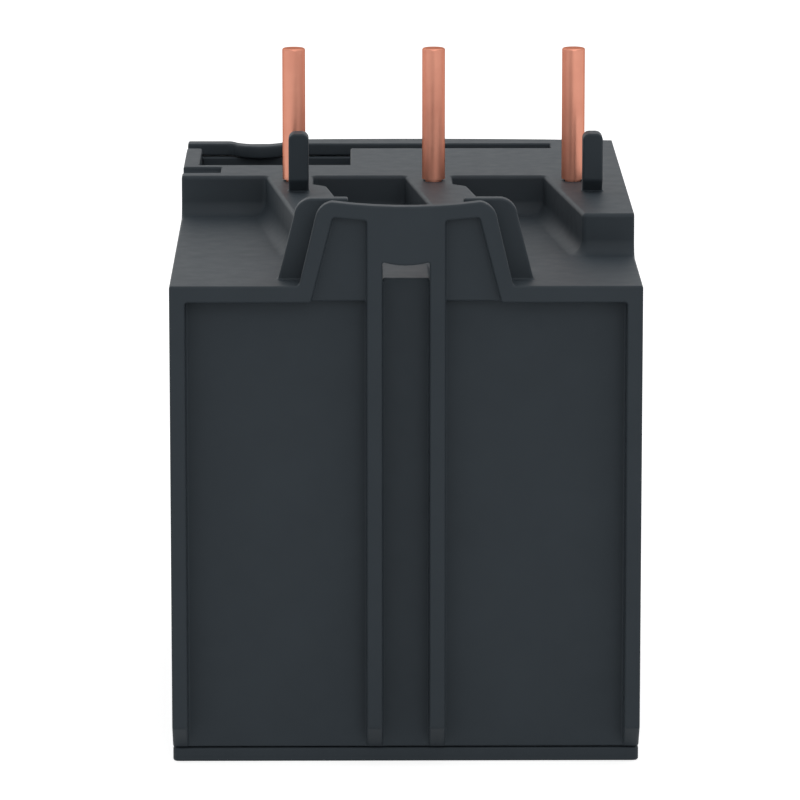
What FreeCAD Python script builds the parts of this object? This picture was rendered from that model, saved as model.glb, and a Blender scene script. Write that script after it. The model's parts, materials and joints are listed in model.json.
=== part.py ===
import FreeCAD, Part
import math
import os
import re
import Sketcher

# Three-pole thermal overload relay that plugs under a contactor by its three copper pins.
# Frame: origin at the centre of the foot, +X to the right as seen from the dial side,
# -Y towards the dial side, +Y towards the back, +Z up. Millimetres.

doc = FreeCAD.newDocument("OverloadRelay")
sheet = doc.addObject("Spreadsheet::Sheet", "Sizes")
nodes = []
alias_row = {}
formulas = {}


def number(sizes):
    """Write driving dimensions into the spreadsheet, one row each."""
    for alias, size in sizes.items():
        row = len(alias_row) + 1
        alias_row[alias] = row
        sheet.set(f"A{row}", alias)
        sheet.set(f"B{row}", str(size))
        sheet.setAlias(f"B{row}", alias)
    sheet.recompute()


def derive(**terms):
    """Keep names for places that follow from the driving dimensions."""
    formulas.update(terms)


def expand(formula):
    """Turn a formula in plain names into one that reads the spreadsheet."""
    def swap(match):
        word = match.group(0)
        if word in formulas:
            return "(" + expand(formulas[word]) + ")"
        return "Sizes." + word if word in alias_row else word
    return re.sub(r"[A-Za-z_][A-Za-z_0-9]*", swap, str(formula))


def value(formula):
    """Work out a formula as a plain number."""
    result = sheet.evalExpression(expand(formula))
    return float(getattr(result, "Value", result))


def bind(obj, prop, formula):
    obj.setExpression(prop, expand(formula))


def label(obj, name):
    """Name a finished sub-part and keep it for the export."""
    obj.Label = name
    if obj.TypeId == "PartDesign::Body":
        obj.Tip.Refine = True
    nodes.append(obj)
    return obj


# ---- primitives and booleans -------------------------------------------------------------

def box(name, x, y, z):
    """A block between two formulas along each axis."""
    block = doc.addObject("Part::Box", name)
    for prop, axis, (low, high) in (("Length", "x", x), ("Width", "y", y), ("Height", "z", z)):
        bind(block, prop, f"({high}) - ({low})")
        bind(block, "Placement.Base." + axis, low)
    return block


TURNS = {
    "z": FreeCAD.Rotation(),
    "y": FreeCAD.Rotation(FreeCAD.Vector(1, 0, 0), -90),
    "x": FreeCAD.Rotation(FreeCAD.Vector(0, 1, 0), 90),
}


def rod(name, axis, centre, radius, low, high):
    """A cylinder along one axis; centre gives its other two coordinates in x, y, z order."""
    cylinder = doc.addObject("Part::Cylinder", name)
    cylinder.Placement = FreeCAD.Placement(FreeCAD.Vector(), TURNS[axis])
    others = [letter for letter in "xyz" if letter != axis]
    bind(cylinder, "Radius", radius)
    bind(cylinder, "Height", f"({high}) - ({low})")
    bind(cylinder, "Placement.Base." + axis, low)
    for letter, place in zip(others, centre):
        bind(cylinder, "Placement.Base." + letter, place)
    return cylinder


def fuse(name, *shapes):
    joined = doc.addObject("Part::MultiFuse", name)
    joined.Shapes = list(shapes)
    joined.Refine = True
    return joined


def cut(name, base, *tools):
    taken = doc.addObject("Part::Cut", name)
    taken.Base = base
    taken.Tool = tools[0] if len(tools) == 1 else fuse(name + "_tools", *tools)
    taken.Refine = True
    return taken


def group(name, *shapes):
    """Identical pieces that share one node stay separate solids."""
    compound = doc.addObject("Part::Compound", name)
    compound.Links = list(shapes)
    return compound


# ---- bodies with sketches ----------------------------------------------------------------

def body(name):
    return doc.addObject("PartDesign::Body", name)


def plane_of(owner, role):
    return next(item for item in owner.Origin.OriginFeatures if item.Role == role)


def sketch(owner, name, role, offset):
    """An empty sketch on one of the body's own planes, moved along the plane's normal."""
    drawn = owner.newObject("Sketcher::SketchObject", name)
    drawn.AttachmentSupport = (plane_of(owner, role), "")
    drawn.MapMode = "FlatFace"
    bind(drawn, "AttachmentOffset.Base.z", offset)
    return drawn


def fix_point(drawn, geometry, end, place):
    """Hold one end of a line or an arc at its formulas."""
    for kind, formula in zip(("DistanceX", "DistanceY"), place):
        index = drawn.addConstraint(Sketcher.Constraint(kind, -1, 1, geometry, end, value(formula)))
        drawn.setExpression(f"Constraints[{index}]", expand(formula))


def outline(drawn, path):
    """Draw a closed outline. Each stop is (x, y), or (x, y, radius, turn) where an arc arrives;
    turn is +1 for an arc that bends to the left and -1 for one that bends to the right."""
    stops = [FreeCAD.Vector(value(stop[0]), value(stop[1]), 0) for stop in path]
    last_end = None
    first_start = None
    for index, stop in enumerate(path):
        start, end = stops[index - 1], stops[index]
        if len(stop) == 2:
            geometry = drawn.addGeometry(Part.LineSegment(start, end), False)
            start_end = (1, 2)
        else:
            radius, turn = value(stop[2]), stop[3]
            half = (end - start).Length / 2
            side = FreeCAD.Vector(start.y - end.y, end.x - start.x, 0).normalize() * turn
            depth = radius - math.sqrt(radius ** 2 - half ** 2)
            middle = (start + end) / 2 - side * depth
            geometry = drawn.addGeometry(Part.Arc(start, middle, end), False)
            start_end = (1, 2) if turn > 0 else (2, 1)
        fix_point(drawn, geometry, start_end[1], stop[:2])
        if len(stop) == 4:
            index_radius = drawn.addConstraint(Sketcher.Constraint("Radius", geometry, value(stop[2])))
            drawn.setExpression(f"Constraints[{index_radius}]", expand(stop[2]))
        if last_end is not None:
            drawn.addConstraint(Sketcher.Constraint("Coincident", *last_end, geometry, start_end[0]))
        else:
            first_start = (geometry, start_end[0])
        last_end = (geometry, start_end[1])
    drawn.addConstraint(Sketcher.Constraint("Coincident", *last_end, *first_start))


def circle(drawn, centre, radius):
    middle = FreeCAD.Vector(value(centre[0]), value(centre[1]), 0)
    geometry = drawn.addGeometry(Part.Circle(middle, FreeCAD.Vector(0, 0, 1), value(radius)), False)
    fix_point(drawn, geometry, 3, centre)
    index = drawn.addConstraint(Sketcher.Constraint("Radius", geometry, value(radius)))
    drawn.setExpression(f"Constraints[{index}]", expand(radius))


def shift(role, low, high):
    """The sketch plane's offset for a run from low to high, because the XZ plane looks to -Y."""
    return f"-({high})" if role == "XZ_Plane" else low


def pad(owner, name, role, path, low, high):
    """Add a prism of an outline, or of a circle given as (centre, radius), from low to high."""
    drawn = sketch(owner, name + "_sketch", role, shift(role, low, high))
    draw(drawn, path)
    feature = owner.newObject("PartDesign::Pad", name)
    feature.Profile = drawn
    feature.Refine = False
    bind(feature, "Length", f"({high}) - ({low})")
    return feature


def pocket(owner, name, role, path, low, high):
    """Take a prism away from low to high."""
    drawn = sketch(owner, name + "_sketch", role, shift(role, low, high))
    draw(drawn, path)
    feature = owner.newObject("PartDesign::Pocket", name)
    feature.Profile = drawn
    feature.Reversed = True
    feature.Refine = False
    bind(feature, "Length", f"({high}) - ({low})")
    return feature


def draw(drawn, path):
    if len(path) == 2 and isinstance(path[0], tuple) and isinstance(path[1], str):
        circle(drawn, path[0], path[1])
    else:
        outline(drawn, path)


def rectangle(x, y):
    return [(x[0], y[0]), (x[1], y[0]), (x[1], y[1]), (x[0], y[1])]


def round_edges(owner, name, radius, picker):
    """Fillet the edges that the picker accepts, given each edge's box and direction."""
    doc.recompute()
    tip = owner.Tip
    found = [f"Edge{i + 1}" for i, edge in enumerate(tip.Shape.Edges) if picker(edge)]
    if not found:
        raise RuntimeError(f"{name} finds no edge")
    feature = owner.newObject("PartDesign::Fillet", name)
    feature.Base = (tip, found)
    bind(feature, "Radius", radius)
    doc.recompute()
    return feature


EDGE_SLACK = 1e-4


def near(a, b):
    return abs(a - b) < EDGE_SLACK


def upright(edge):
    """True for an edge that stands straight up."""
    extent = edge.BoundBox
    return near(extent.XMin, extent.XMax) and near(extent.YMin, extent.YMax)


def at_height(edge, height):
    """True for an edge that lies wholly at one height."""
    return near(edge.BoundBox.ZMin, height) and near(edge.BoundBox.ZMax, height)


# ---- sizes -------------------------------------------------------------------------------

# outer form
outer_form = {
    "width": 45, "depth": 70, "body_height": 51.05, "wall": 1.5, "seam": 0.1, "rib_depth": 2.4,
    "rib_width": 1.5, "channel_width": 4.5, "rim_height": 1.6, "shelf_drop": 4.05,
    "shelf_depth": 43, "foot_plate": 1.35, "shelf_step": 0.4, "step_depth": 7.5,
}
number(outer_form)

# tiers of the front: cover and fascia on top, control terminals, power terminals
tiers = {
    "fascia_low": 30.5, "tier_low": 17.5, "fascia_plane": 30, "control_plane": 27.5,
    "power_plane": 19.5, "fascia_thick": 1.8, "cover_depth": 3.2,
}
number(tiers)
derive(fascia_back="-fascia_plane", control_back="-control_plane", power_back="-power_plane",
       fascia_front="fascia_back - fascia_thick", face="fascia_front - cover_depth")
derive(half="width / 2", back="face + depth", panel="back - rib_depth", step_wall="back - shelf_depth",
       foot="foot_plate + seam", rib_out="channel_width / 2 + rib_width",
       shelf_height="body_height - shelf_drop", rim_low="shelf_height - rim_height")

# deck, lip, opening and slot
deck_sizes = {
    "lip_reach": 34.4, "lip_back": 30.7, "lip_height": 1.3, "lip_arch": 205, "lip_step": 1.65,
    "lip_end": 10, "notch_place": 14.9, "notch_half": 3.45, "notch_depth": 2.2, "notch_inner": 2.8,
    "notch_outer": 1, "slot_width": 3.3, "slot_end": 15.8, "recess_depth": 1.05,
    "opening_left": 5.3, "opening_side": 0.1, "opening_rim": 7.6, "well_clear": 1.7,
    "well_wall": 1, "scoop_width": 3.9, "scoop_front": 6.2, "scoop_back": 2.2, "scoop_depth": 0.6,
}
number(deck_sizes)
derive(deck_low="body_height - wall", lip_low="body_height - lip_height", slot_back="lip_back - slot_width",
       inner="half - wall", opening_right="inner - opening_side", opening_back="opening_rim - step_wall")

# fingers and pins
finger_sizes = {
    "pin_pitch": 14.14, "pin_shift": 3.14, "pin_row": 4.8, "pin_radius": 1.155, "pin_neck": 0.8,
    "pin_play": 0.1, "pin_shoulder": 0.2, "pin_rise": 13.55, "finger_length": 24.8, "finger_root": 3.05,
    "finger_slant": 3.2, "finger_step": 1.95, "finger_notch": 5.2, "finger_shoulder": 3.4,
    "finger_slope_start": 6.7, "finger_tip_half": 5.75, "foot_fillet": 1.5, "rim_fillet": 0.4,
    "corner_fillet": 0.5,
}
number(finger_sizes)
derive(finger_tip="step_wall + finger_length", pin_top="body_height + pin_rise")

# posts on the deck
post_sizes = {
    "post_width": 2, "post_front": 1.3, "post_depth": 2.5, "post_rise": 6, "post_round": 0.7,
    "post_undercut": 1.3, "post_right": 10.46, "post_left": 18.95,
}
number(post_sizes)
derive(post_top="body_height + post_rise")

# hook plate and wings, with their heights above the shelf
hook_sizes = {
    "hook_thick": 1.5, "hook_base": 10.15, "hook_shoulder": 8.6, "hook_crown": 7, "hook_top": 8.05,
    "hook_rise": 6.55, "hook_corner": 1.9, "hook_sag_radius": 54.7, "hook_pocket": 1,
    "hook_inner_low": 9.05, "hook_inner_high": 6.95, "hook_inner_top": 6.57, "hook_rib_top": 6.28,
    "window_top": 2.29, "window_arc": 7.6, "wing_gap": 2.1, "wing_thick": 1.5, "wing_base": 12.2,
    "wing_shoulder": 10.65, "wing_rise": 6.2, "wing_corner": 1.8, "wing_crown": 8.95,
    "wing_top": 7.85, "wing_inner": 5.5, "web_inner": 6, "web_outer": 7.6, "web_top": 7,
}
number(hook_sizes)


def rear_housing():
    """The large moulding: ribbed back, sides, shelf, fingers, deck, lip, hook plate and posts."""
    shell = body("RearHousingBody")
    pad(shell, "side_profile", "YZ_Plane", [
        ("panel", "foot"), ("back", "foot + rib_depth"), ("back", "shelf_height"),
        ("step_wall", "shelf_height"), ("step_wall", "body_height"), ("-lip_reach", "body_height"),
        ("-lip_reach", "lip_low"), ("fascia_back", "lip_low"), ("fascia_back", "fascia_low"),
        ("control_back", "fascia_low"), ("control_back", "tier_low"), ("power_back", "tier_low"),
        ("power_back", "foot")], "-half", "half")
    pocket(shell, "hollow", "YZ_Plane", [
        ("panel - wall", "-foot"), ("panel - wall", "shelf_height - wall"),
        ("step_wall - wall", "shelf_height - wall"), ("step_wall - wall", "deck_low"),
        ("face - foot", "deck_low"), ("face - foot", "-foot")], "-inner", "inner")
    add_well(shell)
    shape_back(shell)
    add_fingers(shell)
    shape_deck(shell)
    add_hook(shell)
    add_posts(shell)
    return label(shell, "rear_housing")


def add_well(shell):
    """A closed tray under the opening in the deck."""
    pad(shell, "well_block", "XY_Plane", rectangle(
        ("opening_left - well_wall", "inner + well_wall / 2"), ("fascia_back", "-opening_back + well_wall")),
        "well_floor - well_wall", "deck_low + wall / 2")
    pocket(shell, "opening", "XY_Plane", rectangle(
        ("opening_left", "opening_right"), ("-lip_back", "-opening_back")),
        "well_floor", "body_height + wall")


def shape_back(shell):
    """Recess the two panels and the channel, so that the rims and ribs stand proud."""
    for name, low, high in (("panel_right", "rib_out", "inner"), ("panel_left", "-inner", "-rib_out")):
        pocket(shell, name, "XZ_Plane", rectangle((low, high), ("0", "rim_low")), "panel", "back + wall")
    pocket(shell, "channel", "XZ_Plane", rectangle(
        ("-channel_width / 2", "channel_width / 2"), ("0", "shelf_height + wall")), "panel", "back + wall")
    pad(shell, "shelf_ledge", "XY_Plane", rectangle(
        ("-channel_width / 2", "channel_width / 2"), ("panel - step_depth", "panel")),
        "shelf_height - wall", "shelf_height + shelf_step")


def pin_x(pole):
    """The pins stand at one pitch, shifted to the left of the middle."""
    return f"({1 - pole} * pin_pitch - pin_shift)"


def along_fingers(edge):
    """True for an edge of the fingers or of the wall between them."""
    extent = edge.BoundBox
    on_side = near(abs(extent.XMin), value("half")) and near(extent.XMin, extent.XMax)
    inside = extent.YMin > value("step_wall") - EDGE_SLACK and extent.YMax < value("finger_tip + wall")
    return inside and not on_side


def add_fingers(shell):
    """Three tapering fingers reach back over the shelf and guide the pins."""
    for pole in range(3):
        x = pin_x(pole)
        root = "step_wall - wall"
        path = [(f"{x} + finger_root", root), (f"{x} + finger_root - finger_slant", "finger_tip")]
        if pole < 2:
            path += [(f"{x} - finger_tip_half", "finger_tip"),
                     (f"{x} - finger_shoulder", "step_wall + finger_slope_start"),
                     (f"{x} - finger_step", "step_wall + finger_notch"), (f"{x} - finger_step", root)]
        else:
            path += [("-half", "finger_tip"), ("-half", root)]
        pad(shell, f"finger_{pole + 1}", "XY_Plane", path, "shelf_height - wall", "body_height")
    round_edges(shell, "finger_corners", "corner_fillet", lambda edge: upright(edge)
                and near(edge.BoundBox.ZMin, value("shelf_height")) and along_fingers(edge))
    round_edges(shell, "wall_feet", "foot_fillet", lambda edge: at_height(edge, value("shelf_height"))
                and along_fingers(edge))
    round_edges(shell, "deck_rims", "rim_fillet", lambda edge: at_height(edge, value("body_height"))
                and along_fingers(edge))
    for pole in range(3):
        pocket(shell, f"pin_hole_{pole + 1}", "XY_Plane",
               ((pin_x(pole), "-pin_row"), "pin_neck + pin_play"), "shelf_height - 2 * wall",
               "body_height + wall")


derive(shoulder_x="notch_half * notch_inner / (notch_inner + notch_outer)",
       shoulder_y="notch_depth * notch_inner / (notch_inner + notch_outer)")


def shape_deck(shell):
    """Slot behind the lip, bowed front edge, finger notch in the lip and the shallow scoop."""
    pocket(shell, "slot", "XY_Plane", rectangle(
        ("-slot_end", "inner"), ("-lip_back", "-slot_back")), "deck_low - wall", "body_height + wall")
    pocket(shell, "slot_recess", "XY_Plane", rectangle(
        ("opening_right", "half + wall"), ("-lip_back", "-slot_back")), "body_height - recess_depth",
        "body_height + wall")
    pocket(shell, "scoop", "XY_Plane", rectangle(
        ("half - scoop_width", "half + wall"), ("step_wall - scoop_front", "step_wall - scoop_back")),
        "body_height - scoop_depth",
        "body_height + wall")
    stepped = "-lip_reach + lip_step"
    edge = "-lip_reach + half * half / (2 * lip_arch)"
    pocket(shell, "lip_front", "XY_Plane", [
        ("-half - wall", "face - wall"), ("-half - wall", edge), ("-half", edge),
        ("lip_end", "-lip_reach + lip_end * lip_end / (2 * lip_arch)", "lip_arch", 1),
        ("lip_end + notch_outer / 2", stepped), ("notch_place - notch_half", stepped),
        ("notch_place - shoulder_x", f"{stepped} + notch_depth - shoulder_y", "notch_outer", 1),
        ("notch_place + shoulder_x", f"{stepped} + notch_depth - shoulder_y", "notch_inner", -1),
        ("notch_place + notch_half", stepped, "notch_outer", 1),
        ("half + wall", stepped), ("half + wall", "face - wall")],
        "lip_low - wall", "body_height + wall")
    pad(shell, "notch_wall", "XY_Plane", [
        ("notch_place + notch_half", "-lip_back"),
        ("notch_place + shoulder_x", "-lip_back + notch_depth - shoulder_y", "notch_outer", -1),
        ("notch_place - shoulder_x", "-lip_back + notch_depth - shoulder_y", "notch_inner", 1),
        ("notch_place - notch_half", "-lip_back", "notch_outer", -1)],
        "lip_low", "body_height")


def mirrored(path, side):
    """The same outline on the other side of the middle plane."""
    if side > 0:
        return path
    return [(f"-({stop[0]})", stop[1]) + ((stop[2], -stop[3]) if len(stop) == 4 else ())
            for stop in path]


def over(size):
    """A height above the shelf."""
    return f"shelf_height + {size}"


def add_hook(shell):
    """The plate that hooks on the contactor, its two pockets, its window and the wings behind it."""
    pad(shell, "hook_plate", "XZ_Plane", [
        ("-hook_base", "rim_low"), ("hook_base", "rim_low"), ("hook_base", "shelf_height"),
        ("hook_shoulder", over("hook_rise")),
        ("hook_crown", over("hook_top"), "hook_corner", 1),
        ("-hook_crown", over("hook_top"), "hook_sag_radius", -1),
        ("-hook_shoulder", over("hook_rise"), "hook_corner", 1), ("-hook_base", "shelf_height")],
        "back - hook_thick", "back")
    pocket(shell, "hook_window", "XZ_Plane", [
        ("-channel_width / 2", "shelf_height + shelf_step"),
        ("channel_width / 2", "shelf_height + shelf_step"),
        ("channel_width / 2", over("window_top")),
        ("-channel_width / 2", over("window_top"), "window_arc", -1)],
        "back - 2 * hook_thick", "back + wall")
    pocket(shell, "channel_top", "XZ_Plane", rectangle(
        ("-channel_width / 2", "channel_width / 2"), ("0", "shelf_height + shelf_step")),
        "panel", "back + wall")
    for side, name in ((1, "right"), (-1, "left")):
        pocket(shell, "hook_pocket_" + name, "XZ_Plane", mirrored([
            ("rib_out", "rim_low - wall"), ("hook_inner_low", "rim_low - wall"),
            ("hook_inner_low", "rim_low"),
            ("hook_inner_high", over("hook_inner_top")), ("rib_out", over("hook_rib_top"))], side),
            "back - hook_pocket", "back + wall")
        pad(shell, "wing_" + name, "XZ_Plane", mirrored([
            ("wing_inner", "shelf_height - wall"), ("wing_base", "shelf_height - wall"),
            ("wing_base", "shelf_height"), ("wing_shoulder", over("wing_rise")),
            ("wing_crown", over("wing_top"), "wing_corner", 1), ("wing_inner", over("wing_top"))], side),
            "back - hook_thick - wing_gap - wing_thick", "back - hook_thick - wing_gap")
        pad(shell, "wing_web_" + name, "XZ_Plane", mirrored(rectangle(
            ("web_inner", "web_outer"), ("shelf_height - wall", over("web_top"))), side),
            "back - hook_thick - wing_gap - wing_thick / 2", "back - hook_thick / 2 - hook_pocket / 2")


def add_posts(shell):
    """Two small posts on the outer fingers, round at the top and undercut at the foot."""
    for name, x in (("right", "post_right"), ("left", "-post_left")):
        low, high = f"{x} - post_width / 2", f"{x} + post_width / 2"
        pad(shell, "post_" + name, "XZ_Plane", [
            (low, "deck_low"), (high, "deck_low"), (high, "post_top - post_round"),
            (f"{high} - post_round", "post_top", "post_round", 1), (f"{low} + post_round", "post_top"),
            (low, "post_top - post_round", "post_round", 1)],
            "post_front", "post_front + post_depth")
        rear = "post_front + post_depth"
        pocket(shell, "post_undercut_" + name, "YZ_Plane", [
            (f"{rear} - post_undercut", "body_height"), (f"{rear} + wall", "body_height"),
            (f"{rear} + wall", "body_height + post_undercut + wall")],
            f"{low} - wall / 10", f"{high} + wall / 10")

# ---- lower mouldings ---------------------------------------------------------------------

block_sizes = {
    "pole_pitch": 13.2, "cell_half": 5.2, "cell_back": 9, "cell_top": 15.5, "cell_floor": 2.9,
    "block_back": 7.5, "skin": 2, "block_play": 0.15, "driver_radius": 3.6,
    "power_screw_height": 9.5, "entry_half": 4.2, "entry_depth": 8, "control_side": 1.35,
    "control_half": 4.2, "control_floor": 19.2, "control_depth": 15.4, "deck_of_block": 29.5,
    "control_driver_radius": 3.1, "control_screw_height": 24, "control_entry_depth": 4.5,
    "foot_round": 0.6,
}
number(block_sizes)
derive(block_side="inner - block_play", power_front="power_back - skin", control_front="control_back - skin",
       entry_back="power_back + entry_depth",
       control_pitch="(block_side - control_side - control_half) / 1.5")


def pole_x(pole):
    """The three poles stand at one pitch about the middle plane, first pole on the right."""
    return f"({1 - pole} * pole_pitch)"


def control_x(place):
    """The four control terminals stand at one pitch, first on the left."""
    return f"({place - 1.5} * control_pitch)"


def bottom_plate():
    """The plate under the whole relay, open below each power terminal for the wire."""
    plate = body("BottomPlateBody")
    pad(plate, "foot_plate_pad", "XY_Plane", rectangle(("-half", "half"), ("power_front", "panel")),
        "0", "foot_plate")
    for pole in range(3):
        pocket(plate, f"wire_entry_{pole + 1}", "XY_Plane", rectangle(
            (f"{pole_x(pole)} - entry_half", f"{pole_x(pole)} + entry_half"), ("power_back", "entry_back")),
            "-foot", "foot")
    round_edges(plate, "foot_corners", "foot_round", lambda edge: near(edge.Length, value("foot_plate"))
                and near(abs(edge.BoundBox.XMin), value("half")))
    return label(plate, "bottom_plate")


def terminal_block():
    """The lower front moulding: a skin on each tier and the cells that hold the terminals."""
    solids = [
        box("power_skin", ("-half", "half"), ("power_front", "power_back - seam / 2"),
            ("foot", "tier_low - seam")),
        box("control_skin", ("-half", "half"), ("control_front", "control_back - seam / 2"),
            ("tier_low + seam", "fascia_low - seam")),
        box("power_cells", ("-block_side", "block_side"), ("power_back - seam", "-block_back"),
            ("foot", "tier_low - seam / 2")),
        box("control_cells", ("-block_side", "block_side"), ("control_back - seam", "-control_depth"),
            ("tier_low + seam", "deck_of_block")),
        box("tier_bridge", ("-block_side", "block_side"), ("power_back", "-control_depth"),
            ("tier_low - wall", "control_floor")),
    ]
    holes = []
    for pole in range(3):
        x = pole_x(pole)
        holes += [
            box(f"power_cell_{pole + 1}", (f"{x} - cell_half", f"{x} + cell_half"),
                ("power_back", "-cell_back"), ("cell_floor", "cell_top")),
            box(f"power_entry_{pole + 1}", (f"{x} - entry_half", f"{x} + entry_half"),
                ("power_back", "entry_back"), ("foot - wall", "cell_floor + wall")),
            rod(f"power_driver_{pole + 1}", "y", (x, "power_screw_height"), "driver_radius",
                "power_front - wall", "power_back + wall"),
            box(f"bar_slot_{pole + 1}", (f"{x} - bar_half - bar_play", f"{x} + bar_half + bar_play"),
                ("-bar_front - bar_play", "-block_back + wall"), ("cell_top - wall", "tier_low + wall / 2")),
        ]
    for place in range(4):
        x = control_x(place)
        holes += [
            box(f"control_cell_{place + 1}", (f"{x} - control_half", f"{x} + control_half"),
                ("control_back", "-control_depth + wall"), ("control_floor", "deck_of_block + wall")),
            rod(f"control_driver_{place + 1}", "y", (x, "control_screw_height"), "control_driver_radius",
                "control_front - wall", "control_back + wall"),
            box(f"control_entry_{place + 1}",
                (f"{x} - control_half + wall / 2", f"{x} + control_half - wall / 2"),
                ("control_back", "control_back + control_entry_depth"),
                ("tier_low - wall", "control_floor + wall")),
        ]
    block = cut("terminal_block_moulding", fuse("terminal_block_solid", *solids), *holes)
    return label(block, "terminal_block")


# ---- front fascia, cover and controls ----------------------------------------------------

fascia_sizes = {
    "dial_left": 11, "dial_height": 41, "dial_bore": 2.3, "button_pitch": 7,
    "stop_set": 6.3, "button_height": 36, "button_radius": 2.9, "button_play": 0.15,
    "window_left": 1.4, "window_right": 2, "window_low": 38.8, "window_high": 40.6,
    "test_left": 2.6, "test_right": 2, "test_low": 44, "test_high": 46, "rail_left": 9,
    "rail_right": 4, "rail_depth": 1.6, "rail_thick": 0.8, "flag_low": 38.4, "flag_high": 40.8,
    "guide_play": 0.2, "snap_thick": 1.2, "snap_reach": 4, "snap_low": 34, "snap_high": 40,
    "lug_play": 0.9, "lug_thick": 1.6, "lug_radius": 0.95, "hinge_height": 32.4, "hinge_radius": 0.6,
    "hinge_play": 0.06, "hinge_set": 1.15, "boss_set": 4, "boss_height": 38.2,
    "boss_radius": 1.6, "boss_length": 4,
}
number(fascia_sizes)
derive(hinge_y="fascia_front - hinge_set", dial_x="-dial_left", stop_right="half - stop_set",
       reset_right="stop_right - button_pitch", boss_left="half - boss_set")


def front_fascia():
    """The upper front panel with its holes, cover lugs, snap tabs, flag rails and lever boss."""
    panel = body("FrontFasciaBody")
    top = "lip_low - seam"
    pad(panel, "fascia_plate", "XZ_Plane", rectangle(("-half", "half"), ("fascia_low + seam", top)),
        "fascia_front", "fascia_back - seam / 2")
    pocket(panel, "dial_hole", "XZ_Plane", (("dial_x", "dial_height"), "dial_bore"),
           "fascia_front - wall", "fascia_back + wall")
    for name, x in (("reset", "reset_right"), ("stop", "stop_right")):
        pocket(panel, name + "_hole", "XZ_Plane", ((x, "button_height"), "button_radius + button_play"),
               "fascia_front - wall", "fascia_back + wall")
    pocket(panel, "flag_window", "XZ_Plane", rectangle(
        ("-window_left", "window_right"), ("window_low", "window_high")),
        "fascia_front - wall", "fascia_back + wall")
    pocket(panel, "test_slot", "XZ_Plane", rectangle(("-test_left", "test_right"), ("test_low", "test_high")),
           "fascia_front - wall", "fascia_back + wall")
    for name, low, high in (("low", "flag_low - guide_play - rail_thick", "flag_low - guide_play"),
                            ("high", "flag_high + guide_play", "flag_high + guide_play + rail_thick")):
        rail_start = "-window_left" if name == "low" else "-rail_left / 2"
        pad(panel, "flag_rail_" + name, "XZ_Plane", rectangle((rail_start, "rail_right"), (low, high)),
            "fascia_back - fascia_thick / 2", "fascia_back + rail_depth")
    for side, name in ((1, "right"), (-1, "left")):
        pad(panel, "snap_tab_" + name, "XY_Plane", mirrored(rectangle(
            ("inner - block_play - snap_thick", "inner - block_play"),
            ("fascia_back - fascia_thick / 2", "fascia_back + snap_reach")), side), "snap_low",
            "snap_high")
        span = ("lug_in", "lug_out") if side > 0 else ("-lug_out", "-lug_in")
        pad(panel, "cover_lug_" + name, "YZ_Plane", (("hinge_y", "hinge_height"), "lug_radius"), *span)
        pad(panel, "lug_neck_" + name, "YZ_Plane", rectangle(
            ("hinge_y", "fascia_back - fascia_thick / 2"),
            ("hinge_height - hinge_radius - seam", "hinge_height + hinge_radius + seam")), *span)
        pocket(panel, "lug_hole_" + name, "YZ_Plane", (("hinge_y", "hinge_height"), "hinge_radius"),
               span[0] + " - wall", span[1] + " + wall")
    pad(panel, "lever_boss", "XZ_Plane", (("-boss_left", "boss_height"), "boss_radius"),
        "fascia_back - fascia_thick / 2", "fascia_back + boss_length")
    return label(panel, "front_fascia")


cover_sizes = {
    "cover_gap": 0.4, "cover_wall": 1, "cover_heel": 0.8, "cover_play": 0.4, "button_window": 3.2,
}
number(cover_sizes)
derive(cover_half="half - cover_gap", cover_back="fascia_front - cover_play",
       cover_low="hinge_height - cover_heel", cover_top="lip_low - cover_play")
derive(lug_out="cover_half - cover_wall - lug_play", lug_in="lug_out - lug_thick")


def clear_cover():
    """The clear flap over the fascia, hinged at its foot, with two holes for the buttons."""
    outer = box("cover_outer", ("-cover_half", "cover_half"), ("face", "cover_back"),
                ("cover_low", "cover_top"))
    inner = box("cover_inner", ("-cover_half + cover_wall", "cover_half - cover_wall"),
                ("face + cover_wall", "cover_back + wall"), ("cover_low - wall", "cover_top - cover_wall"))
    holes = [rod(f"cover_hole_{name}", "y", (x, "button_height"), "button_window", "face - wall",
                 "face + cover_wall + seam")
             for name, x in (("reset", "reset_right"), ("stop", "stop_right"))]
    pivot = rod("cover_pivot_hole", "x", ("hinge_y", "hinge_height"), "hinge_radius + hinge_play",
                "-half - wall", "half + wall")
    return label(cut("cover_shape", outer, inner, *holes, pivot), "clear_cover")


def cover_hinge_pins():
    """Two short pins, tight in the fascia's lugs and free in the cover's sides."""
    pins = [rod("hinge_pin_right", "x", ("hinge_y", "hinge_height"), "hinge_radius", "lug_in", "cover_half"),
            rod("hinge_pin_left", "x", ("hinge_y", "hinge_height"), "hinge_radius", "-cover_half", "-lug_in")]
    return label(group("hinge_pin_pair", *pins), "cover_hinge_pins")


dial_sizes = {
    "knob_radius": 4.5, "knob_height": 1.6, "knob_slot": 1.2, "knob_slot_depth": 0.8,
    "ring_radius": 6.2, "ring_thick": 0.4, "shaft_radius": 2.15, "shaft_end": 23.4,
    "cam_front": 25.8, "cam_back": 24.2, "cam_base": 2.4, "cam_rise": 1.2, "cam_turn": 270,
    "nose_radius": 0.6, "nose_gap": 0.12, "adjuster_front": 25.6, "adjuster_back": 24.4,
    "adjuster_eye": 0.9, "pivot_play": 0.06, "knob_play": 0.1,
}
number(dial_sizes)
derive(ring_front="fascia_front - ring_thick", knob_back="ring_front - knob_play")


def dial_scale_ring():
    """The white ring on the fascia that carries the scale round the dial."""
    ring = cut("ring_shape",
               rod("ring_disc", "y", ("dial_x", "dial_height"), "ring_radius", "ring_front", "fascia_front"),
               rod("ring_bore", "y", ("dial_x", "dial_height"), "dial_bore", "ring_front - wall",
                   "fascia_front + wall"))
    return label(ring, "dial_scale_ring")


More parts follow.
